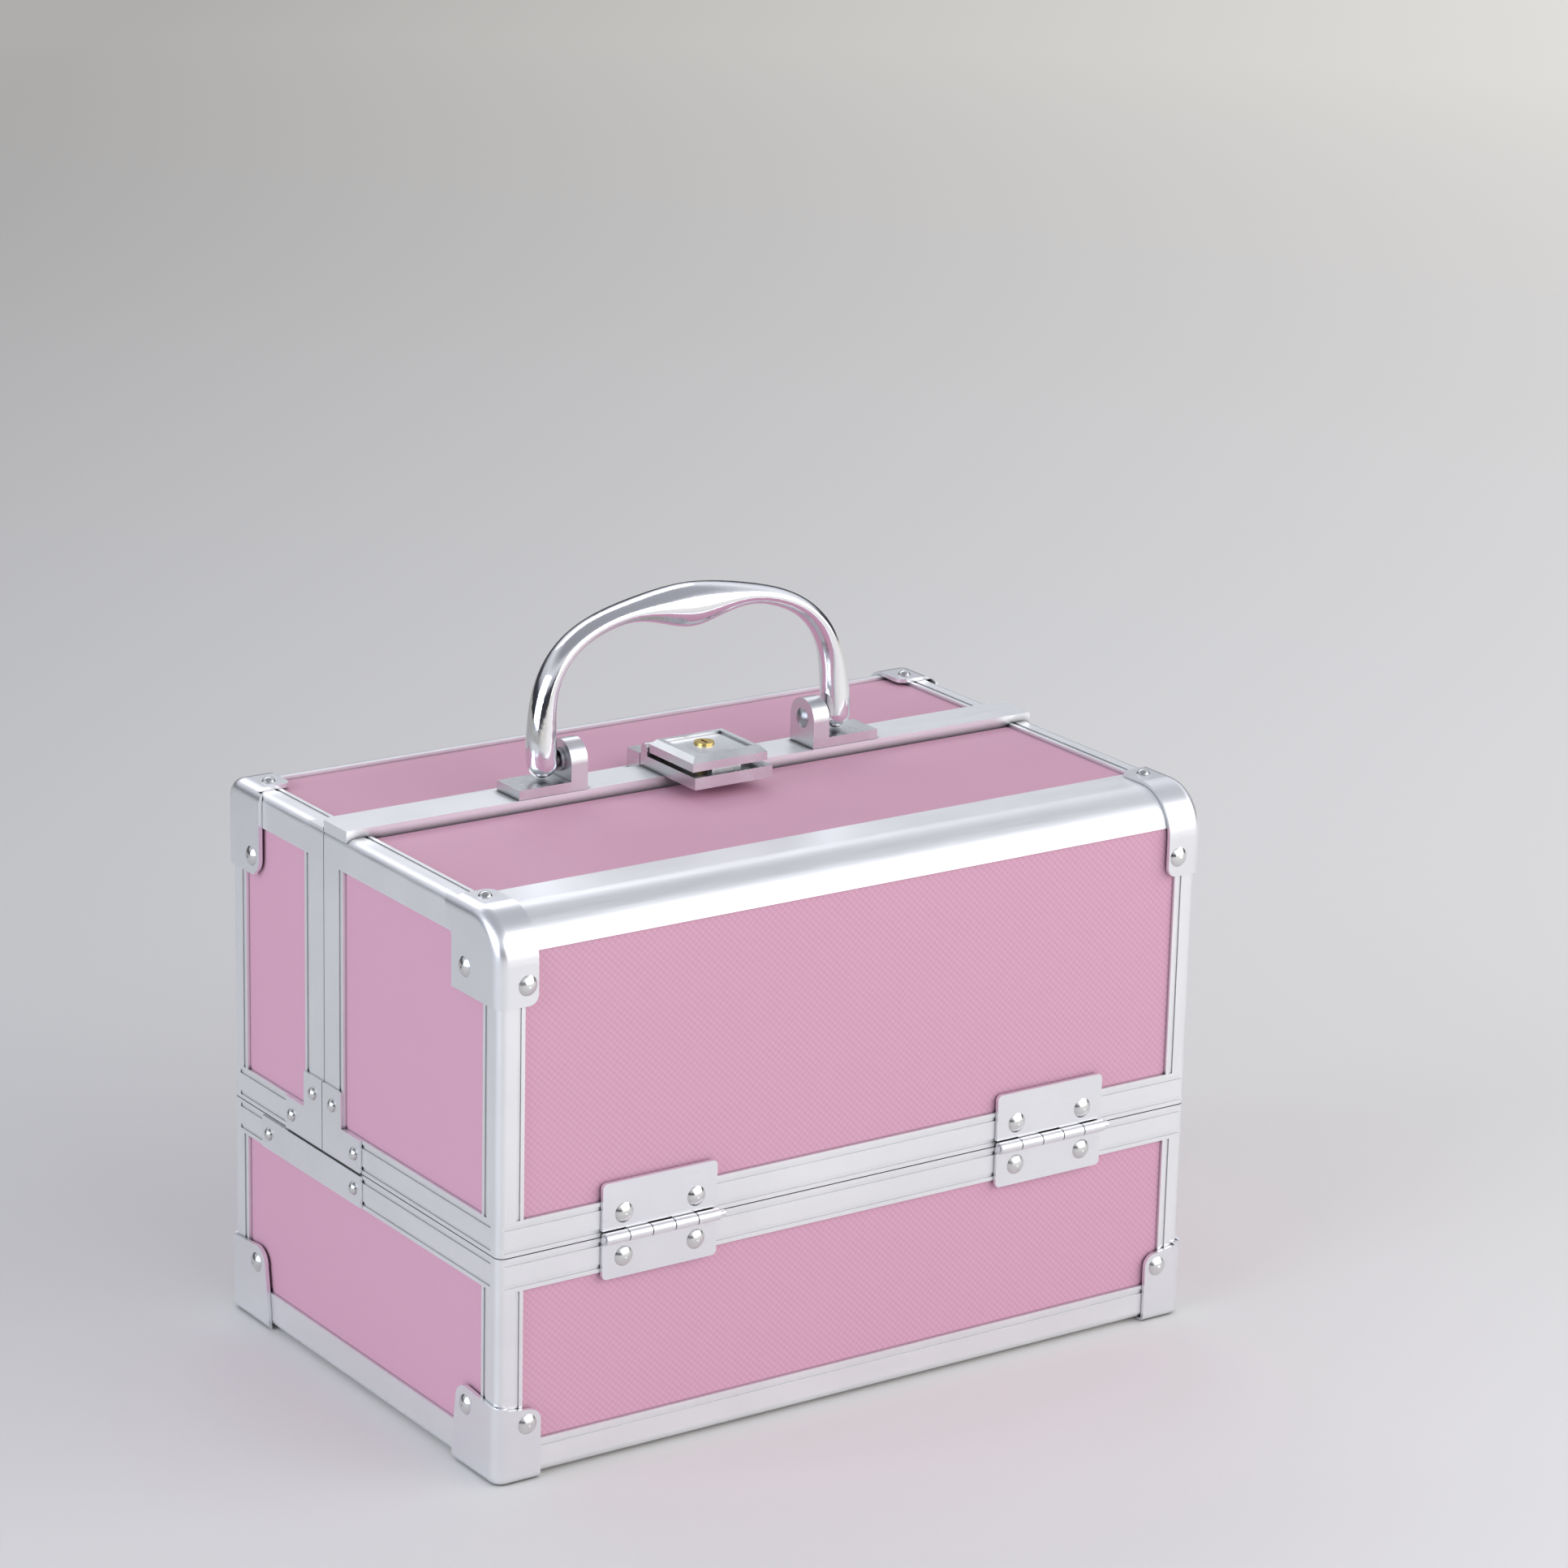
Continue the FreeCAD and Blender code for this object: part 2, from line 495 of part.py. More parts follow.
def lid_pieces(lid):
    """Boards and frame of one lid, built as a front lid."""
    inner_x = HX - WALL
    split = lid.split
    core = lid_core(lid)
    low = LID_LOW + LIP
    rail_top = LID_LOW + SEAM_RAIL
    round_low = CASE_HEIGHT - ROUND_FRONT
    post_top = round_low - POST_SHORT
    top_low = BOARD_TOP - PANEL
    round_back = -HY + lid.round_top
    strip_width = STRIP_WIDTH if lid.has_strip else REAR_STRIP_WIDTH
    strip_top = STRIP_TOP if lid.has_strip else CASE_HEIGHT
    board_end = split - LIP
    face_board = box(-inner_x, inner_x, -HY + LIP, -HY + WALL, low, round_low)
    top_board = box(-HX + LIP, HX - LIP, round_back, board_end, top_low, BOARD_TOP)
    end_board = side_view(lid, WALL, board_end, low, -HX + LIP, -inner_x)
    shell = side_view(lid, 0, round_back, low, -HX + LIP, HX - LIP)
    shell = shell.cut([side_view(lid, WALL, round_back + OVER, low - OVER, -HX + LIP, HX - LIP),
                       box(-HX, HX, -HY - OVER, round_back + OVER, low - OVER, round_low)])
    edge_x0, edge_x1 = -HX, -HX + LIP
    face_end = side_view(lid, 0, split, rail_top, edge_x0, edge_x1)
    face_end = face_end.cut(side_view(lid, END_TOP_FACE, split + OVER, rail_top - OVER, edge_x0, edge_x1))
    face_end = face_end.cut(box(edge_x0, edge_x1, -HY - OVER, split + OVER,
                                rail_top - OVER, post_top))
    flat = box(-HX, -HX + END_TOP_FLAT, round_back, split - strip_width, BOARD_TOP, CASE_HEIGHT)
    flat = flat.cut(box(-HX + END_TOP_FLAT - GROOVE_FROM_EDGE - GROOVE_WIDTH / 2,
                        -HX + END_TOP_FLAT - GROOVE_FROM_EDGE + GROOVE_WIDTH / 2,
                        round_back - OVER, split, CASE_HEIGHT - GROOVE_DEPTH, CASE_HEIGHT + OVER))
    end_profile = face_end.cut(box(edge_x0, edge_x1, split - strip_width, split + OVER,
                                   BOARD_TOP, CASE_HEIGHT + OVER))
    end_profile = end_profile.fuse(flat).removeSplitter()
    upright_top = CASE_HEIGHT - END_TOP_FACE
    upright = box(-HX, -HX + LIP, split - SEAM_STRIP, split, rail_top, upright_top)
    groove_y = split - SEAM_STRIP + GROOVE_FROM_EDGE
    upright = upright.cut(box(-HX - OVER, -HX + GROOVE_DEPTH, groove_y - GROOVE_WIDTH / 2,
                              groove_y + GROOVE_WIDTH / 2, rail_top, upright_top))
    upright = upright.fuse(box(-HX + LIP, -inner_x, board_end, split, low, top_low)).removeSplitter()
    strip = box(-HX, HX, split - strip_width, split, BOARD_TOP, strip_top)
    strip = strip.fuse(box(-inner_x, inner_x, board_end, split, top_low, BOARD_TOP)).removeSplitter()
    rail_end = seam_rail_end(LID_LOW, 1, -HY + WALL, split)
    return {"face_panel": [face_board], "top_panel": [top_board], "left_panel": [end_board],
            "right_panel": [other_end(end_board)], "round_profile": [shell.common(core)],
            "bottom_rails": [seam_rail_long(LID_LOW, 1).common(core)] + both_ends([rail_end]),
            "corner_posts": both_ends([post(rail_top, post_top, low, post_top)]),
            "end_top_profiles": both_ends([end_profile.common(core)]), "seam_strips": both_ends([upright]),
            "top_strip": [strip], "corner_caps": both_ends([lid_cap(lid)])}


def make_lids():
    for name, lid in (("front_lid", FRONT_LID), ("rear_lid", REAR_LID)):
        for piece, shapes in lid_pieces(lid).items():
            placed = shapes if lid.has_strip else [other_side(shape) for shape in shapes]
            save(name + "_" + piece, placed)


# ---------------------------------------------------------------- hinges and trim

def knuckle_span(index):
    pitch = LEAF_WIDTH / KNUCKLES
    start = -LEAF_WIDTH / 2 + index * pitch
    return start + CLEAR / 2, start + pitch - CLEAR / 2


def hinge_leaf(up, reach, own):
    """Leaf of one front hinge; own lists the knuckles that it carries."""
    seam = SEAM_HEIGHT + up * CLEAR / 2
    free = SEAM_HEIGHT + up * (KNUCKLE_R + CLEAR)
    far = SEAM_HEIGHT + up * reach
    half = LEAF_WIDTH / 2
    leaf = box(-half, half, -HY - LEAF, -HY, min(free, far), max(free, far))
    free_corners = [e for e in leaf.Edges
                    if e.BoundBox.YLength > LEAF / 2 and abs(e.BoundBox.ZMin - far) < NEAR]
    leaf = leaf.makeFillet(LEAF_CORNER, free_corners)
    for index in own:
        x0, x1 = knuckle_span(index)
        leaf = leaf.fuse(box(x0, x1, -HY - LEAF, -HY, min(seam, free), max(seam, free)))
        leaf = leaf.fuse(rod(KNUCKLE_R, V(x0, AXIS_Y, SEAM_HEIGHT), V(x1, AXIS_Y, SEAM_HEIGHT)))
    bore_ends = V(-half - OVER, AXIS_Y, SEAM_HEIGHT), V(half + OVER, AXIS_Y, SEAM_HEIGHT)
    bore = rod(HINGE_PIN_R + RUN_FIT, *bore_ends)
    return leaf.removeSplitter().cut(bore)


def at_hinges(shape):
    """The same piece at both hinges of a side."""
    pair = []
    for x in (-HINGE_AT, HINGE_AT):
        copy = shape.copy()
        copy.translate(V(x, 0, 0))
        pair.append(copy)
    return pair


def make_hinges():
    lower = at_hinges(hinge_leaf(-1, LEAF_DOWN, (0, 2, 4)))
    upper = at_hinges(hinge_leaf(1, LEAF_UP, (1, 3)))
    half = LEAF_WIDTH / 2
    pin_ends = V(-half - CLEAR, AXIS_Y, SEAM_HEIGHT), V(half + PIN_TAIL, AXIS_Y, SEAM_HEIGHT)
    pins = at_hinges(rod(HINGE_PIN_R, *pin_ends))
    save("hinge_lower_leaves", lower + [other_side(leaf) for leaf in lower])
    save("front_lid_hinge_leaves", upper)
    save("rear_lid_hinge_leaves", [other_side(leaf) for leaf in upper])
    save("hinge_pins", pins + [other_side(pin) for pin in pins])


def leaf_rivets(up):
    z = SEAM_HEIGHT + up * LEAF_RIVET_Z
    heads = [dome(V(x, -HY - LEAF, z), V(0, -1, 0)) for x in (-LEAF_RIVET_X, LEAF_RIVET_X)]
    return [copy for head in heads for copy in at_hinges(head)]


def lid_bracket(lid):
    """Flat L on the end of a lid, at the lower corner by the split."""
    split = lid.split
    low, high = LID_LOW + CLEAR, LID_LOW + SEAM_RAIL
    arm = box(-HX - BRACKET, -HX, split - BRACKET_ARM, split, low, high)
    stem = box(-HX - BRACKET, -HX, split - SEAM_STRIP + CLEAR, split, low, high + BRACKET_RISE)
    return arm.fuse(stem).removeSplitter()


def lid_rivets(lid):
    """Rivet heads on the caps, brackets and hinge leaves of one lid, built as a front lid."""
    left = V(-1, 0, 0)
    cap_low = CASE_HEIGHT - CAP_DROP
    rivet_in, rivet_up = lid.cap_rivet
    bracket_z = LID_LOW + SEAM_RAIL + BRACKET_RISE / 2
    bracket_y = lid.split - BRACKET_ARM + BRACKET_RIVET_IN
    heads = [dome(V(-HX + CAP_RIVET_IN, -HY - CAP, cap_low + CAP_RIVET_UP), V(0, -1, 0)),
             dome(V(-HX - CAP, -HY + rivet_in, cap_low + rivet_up), left),
             dome(V(-HX + TOP_RIVET_IN, -HY + lid.cap_top - TOP_RIVET_BACK, CASE_HEIGHT + CAP), V(0, 0, 1),
                  SMALL_RIVET_R),
             dome(V(-HX - BRACKET, lid.split - SEAM_STRIP / 2, bracket_z), left, SMALL_RIVET_R),
             dome(V(-HX - BRACKET, bracket_y, LID_LOW + SEAM_RAIL / 2), left, SMALL_RIVET_R)]
    return both_ends(heads) + leaf_rivets(1)


def make_trim():
    for name, lid in (("front_lid", FRONT_LID), ("rear_lid", REAR_LID)):
        brackets = both_ends([lid_bracket(lid)])
        rivets = lid_rivets(lid)
        if lid is REAR_LID:
            brackets = [other_side(shape) for shape in brackets]
            rivets = [other_side(shape) for shape in rivets]
        save(name + "_end_brackets", brackets)
        save(name + "_rivets", rivets)
    tie_front, tie_back = SPLIT_Y + TIE_BACK - TIE_LENGTH, SPLIT_Y + TIE_BACK
    tie_z0, tie_z1 = BASE_TOP - SEAM_RAIL + CLEAR, BASE_TOP - CLEAR
    tie = box(-HX - BRACKET, -HX, tie_front, tie_back, tie_z0, tie_z1)
    save("base_end_plates", both_ends([tie]))
    tie_z = (tie_z0 + tie_z1) / 2
    tie_rivets = [dome(V(-HX - BRACKET, y, tie_z), V(-1, 0, 0), SMALL_RIVET_R)
                  for y in (tie_front + TIE_RIVET_IN, tie_back - TIE_RIVET_IN)]
    foot_rivet_in, foot_rivet_up = FOOT_END_RIVET
    cap_heads = [dome(V(-HX + FOOT_RIVET_IN, -HY - CAP, FOOT_RIVET_UP), V(0, -1, 0)),
                 dome(V(-HX - CAP, -HY + foot_rivet_in, foot_rivet_up), V(-1, 0, 0))]
    leaves = leaf_rivets(-1)
    rear_leaves = [other_side(leaf) for leaf in leaves]
    save("base_rivets", both_ends(tie_rivets) + four_corners(cap_heads) + leaves + rear_leaves)


# ---------------------------------------------------------------- handle and latch

def handle_section(x, z, slope, half_height, half_width):
    """Closed rounded section of the handle, square to its path."""
    lean = math.radians(slope)
    across = V(-math.sin(lean), 0, math.cos(lean))
    points = []
    for step in range(SECTION_POINTS):
        turn = 2 * math.pi * step / SECTION_POINTS
        points.append(V(x, STRIP_Y, z) + across * (half_height * math.cos(turn))
                      + V(0, half_width * math.sin(turn), 0))
    curve = Part.BSplineCurve()
    curve.interpolate(points, PeriodicFlag=True)
    return Part.Wire([curve.toShape()])


def make_handle():
    end = (HANDLE_PIVOT_X, 0.0, HANDLE_UPRIGHT, HANDLE_LEG_R, HANDLE_LEG_R)
    right = list(HANDLE_SECTIONS) + [end]
    left = [(-x, z, -slope, high, wide) for x, z, slope, high, wide in reversed(right[1:])]
    wires = [handle_section(x, PIVOT_Z + z, slope, high, wide) for x, z, slope, high, wide in left + right]
    handle = Part.makeLoft(wires, True, False)
    inner = HANDLE_PIVOT_X - HANDLE_LEG_R
    ear_out = inner - EAR_GAP
    ear_in = ear_out - EAR
    ear_r = BRACKET_WIDE / 2
    brackets = []
    pins = []
    for side in (-1, 1):
        foot = Part.makeSphere(HANDLE_LEG_R - HANDLE_LEG_STEP, V(side * HANDLE_PIVOT_X, STRIP_Y, PIVOT_Z))
        handle = handle.fuse(foot)
    handle.rotate(V(0, STRIP_Y, PIVOT_Z), V(1, 0, 0), -HANDLE_LEAN)
    for side in (-1, 1):
        tip = side * (HANDLE_PIVOT_X + HANDLE_LEG_R / 2)
        socket_start = V(side * (inner - OVER), STRIP_Y, PIVOT_Z)
        handle = handle.cut(rod(HANDLE_PIN_R + RUN_FIT, socket_start, V(tip, STRIP_Y, PIVOT_Z)))
        x0, x1 = sorted((side * ear_in, side * ear_out))
        b0, b1 = sorted((side * ear_in, side * (ear_in + BRACKET_LONG)))
        upright = box(x0, x1, STRIP_Y - ear_r, STRIP_Y + ear_r, STRIP_TOP, PIVOT_Z)
        eye = rod(ear_r, V(x0, STRIP_Y, PIVOT_Z), V(x1, STRIP_Y, PIVOT_Z))
        seat = box(b0, b1, STRIP_Y - ear_r, STRIP_Y + ear_r, STRIP_TOP, STRIP_TOP + BRACKET_BASE)
        bracket = upright.fuse([eye, seat]).removeSplitter()
        bore = rod(HANDLE_PIN_R + RUN_FIT, V(x0 - OVER, STRIP_Y, PIVOT_Z), V(x1 + OVER, STRIP_Y, PIVOT_Z))
        brackets.append(bracket.cut(bore))
        head = V(side * ear_in, STRIP_Y, PIVOT_Z)
        pin = rod(HANDLE_PIN_R, head, V(tip - side * CLEAR, STRIP_Y, PIVOT_Z))
        collar_ends = V(side * ear_out, STRIP_Y, PIVOT_Z), V(side * (inner - CLEAR), STRIP_Y, PIVOT_Z)
        collar = rod(HANDLE_COLLAR_R, *collar_ends)
        pins.append(pin.fuse([collar, dome(head, V(-side, 0, 0), HANDLE_PIN_R + HANDLE_PIN_HEAD)]))
    save("handle", [handle])
    save("handle_brackets", brackets)
    save("handle_pins", pins)


def make_latch():
    y1 = SPLIT_Y - CLEAR / 2
    y0 = y1 - LATCH_LENGTH
    top = STRIP_TOP + LATCH_BASE
    axis_y = y1 - FLAP_KNUCKLE_R - CLEAR
    axis_z = top + FLAP_KNUCKLE_R + CLEAR / 2
    flap_low = top + FLAP_GAP
    flap_high = flap_low + FLAP_THICK
    flap_back = axis_y - FLAP_KNUCKLE_R - CLEAR
    flap_front = axis_y - FLAP_LENGTH
    plate = box(-LATCH_HALF, LATCH_HALF, y0, y1, STRIP_TOP, top)
    tongue_y = flap_front + 2 * CLEAR + FLAP_HOLLOW
    tongue = box(-TONGUE_HALF, TONGUE_HALF, tongue_y, tongue_y + TONGUE, top, flap_low + TONGUE_INTO_FLAP)
    plate = plate.fuse(tongue)
    pin_bore = rod(LATCH_PIN_R + RUN_FIT, V(-HX, axis_y, axis_z), V(HX, axis_y, axis_z))
    for side in (-1, 1):
        x0, x1 = sorted((side * (FLAP_ARM_HALF + CLEAR), side * LATCH_HALF))
        plate = plate.fuse(rod(FLAP_KNUCKLE_R, V(x0, axis_y, axis_z), V(x1, axis_y, axis_z)))
        plate = plate.fuse(box(x0, x1, axis_y - FLAP_KNUCKLE_R, axis_y + FLAP_KNUCKLE_R, top, axis_z))
    save("latch_base", [plate.removeSplitter().cut(pin_bore)])
    flap = box(-FLAP_HALF, FLAP_HALF, flap_front, flap_back, flap_low, flap_high)
    rim = [e for e in flap.Edges if all(abs(v.Z - flap_high) < NEAR for v in e.Vertexes)]
    flap = flap.makeChamfer(FLAP_CHAMFER, rim)
    flap = flap.cut(box(-FLAP_HALF + FLAP_FRAME, FLAP_HALF - FLAP_FRAME, flap_front + FLAP_FRAME,
                        flap_back - FLAP_FRAME, flap_high - FLAP_RECESS, flap_high + OVER))
    flap = flap.cut(box(-FLAP_HALF + FLAP_HOLLOW, FLAP_HALF - FLAP_HOLLOW, flap_front + FLAP_HOLLOW,
                        flap_back - FLAP_HOLLOW, flap_low - OVER, flap_low + FLAP_HOLLOW))
    arm = box(-FLAP_ARM_HALF, FLAP_ARM_HALF, flap_back - OVER, axis_y,
              flap_low + CLEAR, axis_z + FLAP_KNUCKLE_R)
    knuckle = rod(FLAP_KNUCKLE_R, V(-FLAP_ARM_HALF, axis_y, axis_z), V(FLAP_ARM_HALF, axis_y, axis_z))
    flap = flap.fuse([arm, knuckle]).removeSplitter()
    lock_y = flap_front + LOCK_FROM_FRONT
    lock_low = flap_low + CLEAR
    lock_high = flap_high - FLAP_RECESS + LOCK_PROUD
    flap = flap.cut(rod(LOCK_R + RUN_FIT, V(0, lock_y, flap_low - OVER), V(0, lock_y, flap_high + OVER)))
    save("latch_flap", [flap.cut(pin_bore)])
    save("latch_pin", [rod(LATCH_PIN_R, V(-LATCH_HALF, axis_y, axis_z), V(LATCH_HALF, axis_y, axis_z))])
    lock = rod(LOCK_R, V(0, lock_y, lock_low), V(0, lock_y, lock_high))
    slot = box(-LOCK_SLOT_HALF, LOCK_SLOT_HALF, lock_y - LOCK_SLOT_REACH, lock_y + LOCK_SLOT_REACH,
               lock_high - LOCK_SLOT_DEPTH, lock_high + OVER)
    save("lock_cylinder", [lock.cut(slot)])
    keeper_y = SPLIT_Y + CLEAR / 2
    keeper = box(-LATCH_HALF, LATCH_HALF, keeper_y, keeper_y + KEEPER_LONG, CASE_HEIGHT, top)
    save("latch_keeper", [keeper])


# ---------------------------------------------------------------- trays

def place(d, up):
    """Height and depth measured from the front hinge axis, as a y and a z."""
    return AXIS_Y + d, SEAM_HEIGHT + up


def tray(pivot, offset, back, height, dividers):
    """Open tray on the front side, hung from its pivot on the lid and its stud on the arm."""
    y0, z0 = place(TRAY_FRONT, pivot[1] - TRAY_UNDER_PIVOT)
    y1, z1 = place(back, pivot[1] - TRAY_UNDER_PIVOT + height)
    body = box(-TRAY_HALF, TRAY_HALF, y0, y1, z0, z1)
    upright = [e for e in body.Edges if abs(e.Vertexes[0].Z - e.Vertexes[1].Z) > height / 2]
    body = body.makeFillet(2 * TRAY_WALL, upright)
    inside = TRAY_HALF - TRAY_WALL
    hollow = box(-inside, inside, y0 + TRAY_WALL, y1 - TRAY_WALL, z0 + TRAY_WALL, z1 + OVER)
    upright = [e for e in hollow.Edges if abs(e.Vertexes[0].Z - e.Vertexes[1].Z) > height / 2]
    body = body.cut(hollow.makeFillet(TRAY_WALL, upright))
    half_wall = TRAY_WALL / 2
    for x in dividers:
        wall = box(x - half_wall, x + half_wall, y0 + half_wall, y1 - half_wall, z0 + half_wall,
                   z1 - DIVIDER_DROP)
        body = body.fuse(wall)
    body = body.removeSplitter()
    holes = ((pivot, RUN_FIT), ((pivot[0] + offset[0], pivot[1] + offset[1]), OPEN_FIT))
    for (d, up), fit in holes:
        y, z = place(d, up)
        for x in (-TRAY_HALF, TRAY_HALF):
            body = body.cut(rod(TRAY_PIN_R + fit, V(x - 2 * TRAY_WALL, y, z), V(x + 2 * TRAY_WALL, y, z)))
    return body


def arm(pivots, offset):
    """Flat arm in the gap at the left end, with a stud for each tray."""
    points = [offset] + [(d + offset[0], up + offset[1]) for d, up in pivots]
    places = [place(d, up) for d, up in points]
    plate = None
    for (ya, za), (yb, zb) in zip(places, places[1:]):
        along = V(0, yb - ya, zb - za)
        across = along.cross(V(1, 0, 0))
        across.normalize()
        start = V(-ARM_X - ARM, ya, za)
        corners = [start + across * ARM_HALF, start + along + across * ARM_HALF,
                   start + along - across * ARM_HALF, start - across * ARM_HALF]
        bar = Part.Face(Part.makePolygon(corners + corners[:1])).extrude(V(ARM, 0, 0))
        plate = bar if plate is None else plate.fuse(bar)
    for y, z in places:
        plate = plate.fuse(rod(ARM_HALF, V(-ARM_X - ARM, y, z), V(-ARM_X, y, z)))
    y, z = places[0]
    plate = plate.cut(rod(TRAY_PIN_R + RUN_FIT, V(-HX, y, z), V(0, y, z)))
    for y, z in places[1:]:
        plate = plate.fuse(rod(TRAY_PIN_R, V(-ARM_X - ARM, y, z), V(-TRAY_HALF + TRAY_WALL, y, z)))
    return plate.removeSplitter()


def headed_pin(wall_x, head_x, d, up):
    """Pin that stands in from a wall and ends in a flat head."""
    y, z = place(d, up)
    pin = rod(TRAY_PIN_R, V(-wall_x, y, z), V(-head_x, y, z))
    return pin.fuse(rod(TRAY_PIN_HEAD_R, V(-head_x, y, z), V(-head_x + TRAY_PIN_HEAD, y, z))).removeSplitter()


def make_trays():
    front = (LOWER_PIVOT, UPPER_PIVOT)
    rear = (LOWER_PIVOT,)
    third = TRAY_HALF * 2 / 3
    half = TRAY_HALF
    save("front_lower_tray", [tray(LOWER_PIVOT, FRONT_ARM_OFFSET, FRONT_TRAY_BACK, LOWER_TRAY_HEIGHT,
                                   (third - half, half - third))])
    save("front_upper_tray", [tray(UPPER_PIVOT, FRONT_ARM_OFFSET, FRONT_TRAY_BACK, UPPER_TRAY_HEIGHT,
                                   (-half / 2, 0.0, half / 2))])
    save("rear_tray", [other_side(tray(LOWER_PIVOT, REAR_ARM_OFFSET, REAR_TRAY_BACK, REAR_TRAY_HEIGHT, ()))])
    save("front_tray_arms", both_ends([arm(front, FRONT_ARM_OFFSET)]))
    save("rear_tray_arms", [other_side(shape) for shape in both_ends([arm(rear, REAR_ARM_OFFSET)])])
    inside = TRAY_HALF - TRAY_WALL - CLEAR
    board_x = HX - WALL
    save("front_tray_pivots", both_ends([headed_pin(board_x, inside, d, up) for d, up in front]))
    rear_tray_pins = both_ends([headed_pin(board_x, inside, d, up) for d, up in rear])
    save("rear_tray_pivots", [other_side(pin) for pin in rear_tray_pins])
    lip_x, arm_in = HX - WALL - LIP, ARM_X - CLEAR
    front_pins = both_ends([headed_pin(lip_x, arm_in, *FRONT_ARM_OFFSET)])
    rear_pins = both_ends([headed_pin(lip_x, arm_in, *REAR_ARM_OFFSET)])
    save("tray_arm_pivots", front_pins + [other_side(pin) for pin in rear_pins])


os.makedirs("parts", exist_ok=True)
make_base()
make_lids()
make_hinges()
make_trim()
make_handle()
make_latch()
make_trays()
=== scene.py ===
"""Looks of the two-lid vanity case: materials, lightly broken edges, camera, floor and light."""
import math

import bpy
from mathutils import Matrix, Vector


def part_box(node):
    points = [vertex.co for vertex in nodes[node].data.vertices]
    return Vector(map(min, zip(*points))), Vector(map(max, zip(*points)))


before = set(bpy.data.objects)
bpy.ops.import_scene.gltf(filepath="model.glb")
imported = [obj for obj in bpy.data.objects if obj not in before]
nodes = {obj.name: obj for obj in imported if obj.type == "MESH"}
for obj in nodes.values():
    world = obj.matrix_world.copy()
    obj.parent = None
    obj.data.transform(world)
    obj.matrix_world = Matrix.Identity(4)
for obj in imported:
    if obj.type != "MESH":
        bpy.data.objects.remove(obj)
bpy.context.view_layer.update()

MM = 0.001
WHITE = (1.0, 1.0, 1.0)

# Colours, linear
PINK = (0.725, 0.405, 0.525)
# Darker pink: painted shade in the grain's hollows, and random cloudy tone
PINK_SHADED_AND_CLOUDED = (0.640, 0.330, 0.450)
ALUMINIUM = (0.92, 0.92, 0.93)
STEEL = (0.90, 0.90, 0.92)
NICKEL = (0.78, 0.78, 0.77)
CHROME = (0.86, 0.86, 0.88)
LATCH_PLATING = (0.78, 0.79, 0.80)
# Handle pins: steel, its colour darkened further as painted shade round the handle's eyes
PIN_STEEL_DARKENED_AS_SHADE = (0.42, 0.42, 0.44)
ZINC = (0.66, 0.67, 0.69)
BRASS = (0.83, 0.61, 0.20)
BRASS_DEEP = (0.60, 0.40, 0.12)
TRAY_BLACK = (0.020, 0.020, 0.023)
LINING_BLACK = (0.012, 0.012, 0.014)
# Floor colours: painted light to the front right, painted shade to the back left
FLOOR_PAINTED_LIGHT = (0.88, 0.86, 0.83)
FLOOR_PAINTED_SHADE = (0.50, 0.49, 0.48)
# Colour of the painted shade laid into corners and narrow gaps
PAINTED_SHADE_COLOUR = (0.020, 0.020, 0.024)

# Painted shade in corners and gaps: how far around a point counts, and the open shares at which it is all
# dark and all clear
BOARD_PAINTED_SHADE = (1.4 * MM, 0.25, 0.72)
METAL_PAINTED_SHADE = (1.4 * MM, 0.22, 0.70)
STRIP_PAINTED_SHADE = (4.0 * MM, 0.48, 0.86)
PLATING_PAINTED_SHADE = (1.6 * MM, 0.20, 0.70)
RIVET_PAINTED_SHADE = (3.0 * MM, 0.50, 0.96)

# Planes through the boards, a little inside their outer faces: what lies within all of them is lined
SKIN_BEHIND_RAILS = 1.8 * MM
SKIN_AT_TOP = 0.8 * MM
rails_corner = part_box("base_top_rails_long")[1]
LINED_X = rails_corner.x - SKIN_BEHIND_RAILS
LINED_Y = rails_corner.y - SKIN_BEHIND_RAILS
LINED_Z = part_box("front_lid_top_panel")[1].z - SKIN_AT_TOP

# Skin of the boards
FACING = 0.6                 # a face looks along an axis where that part of its normal is more
EMBOSS_PITCH = 1.5 * MM      # between the rows of the grain, and between the beads of a row
ROW_SHARE = 0.27
BEAD_SHARE = 0.20
SIDE_GRAIN = 0.12            # grain on the ends and tops, as a share of the front's
FINE_GRAIN = 0.12            # noise on top of the embossed grain
WORN_GRAIN = 0.65            # depth of the grain where it is rubbed flat
DEEP_BELOW = -0.5            # depths of the grain at which the colour is all painted hollow shade and all plain
PLAIN_ABOVE = 0.35
CLOUD_SHARE = 0.10
SKIN_DEPTH = 0.14 * MM
SKIN_ROUGH = (0.50, 0.57)
SKIN_SPECULAR = 0.30
LINED_ROUGHER = 0.35

# Drawn, pressed and rolled metal
METALLIC = 0.85              # lacquered metal keeps a little of its own colour
LINE_STRETCH = 0.02          # lines are fifty times as long as wide
LINE_DEPTH = 0.012 * MM
WORN_COLOUR = 0.80
WORN_SHARE = 0.30
RUB_ROUGHER = 0.12

# Plating: smears, with their roughness as shares of the metal's, and specks
SMEAR_STRETCH = (1.0, 0.35, 1.0)
SMEAR_SMOOTHEST = 0.6
SMEAR_ROUGHEST = 1.6
SMEAR_COLOUR = 0.86
SMEAR_SHARE = 0.2
SMEAR_DEPTH = 0.02 * MM
SPECK_ROUGHER = 0.03

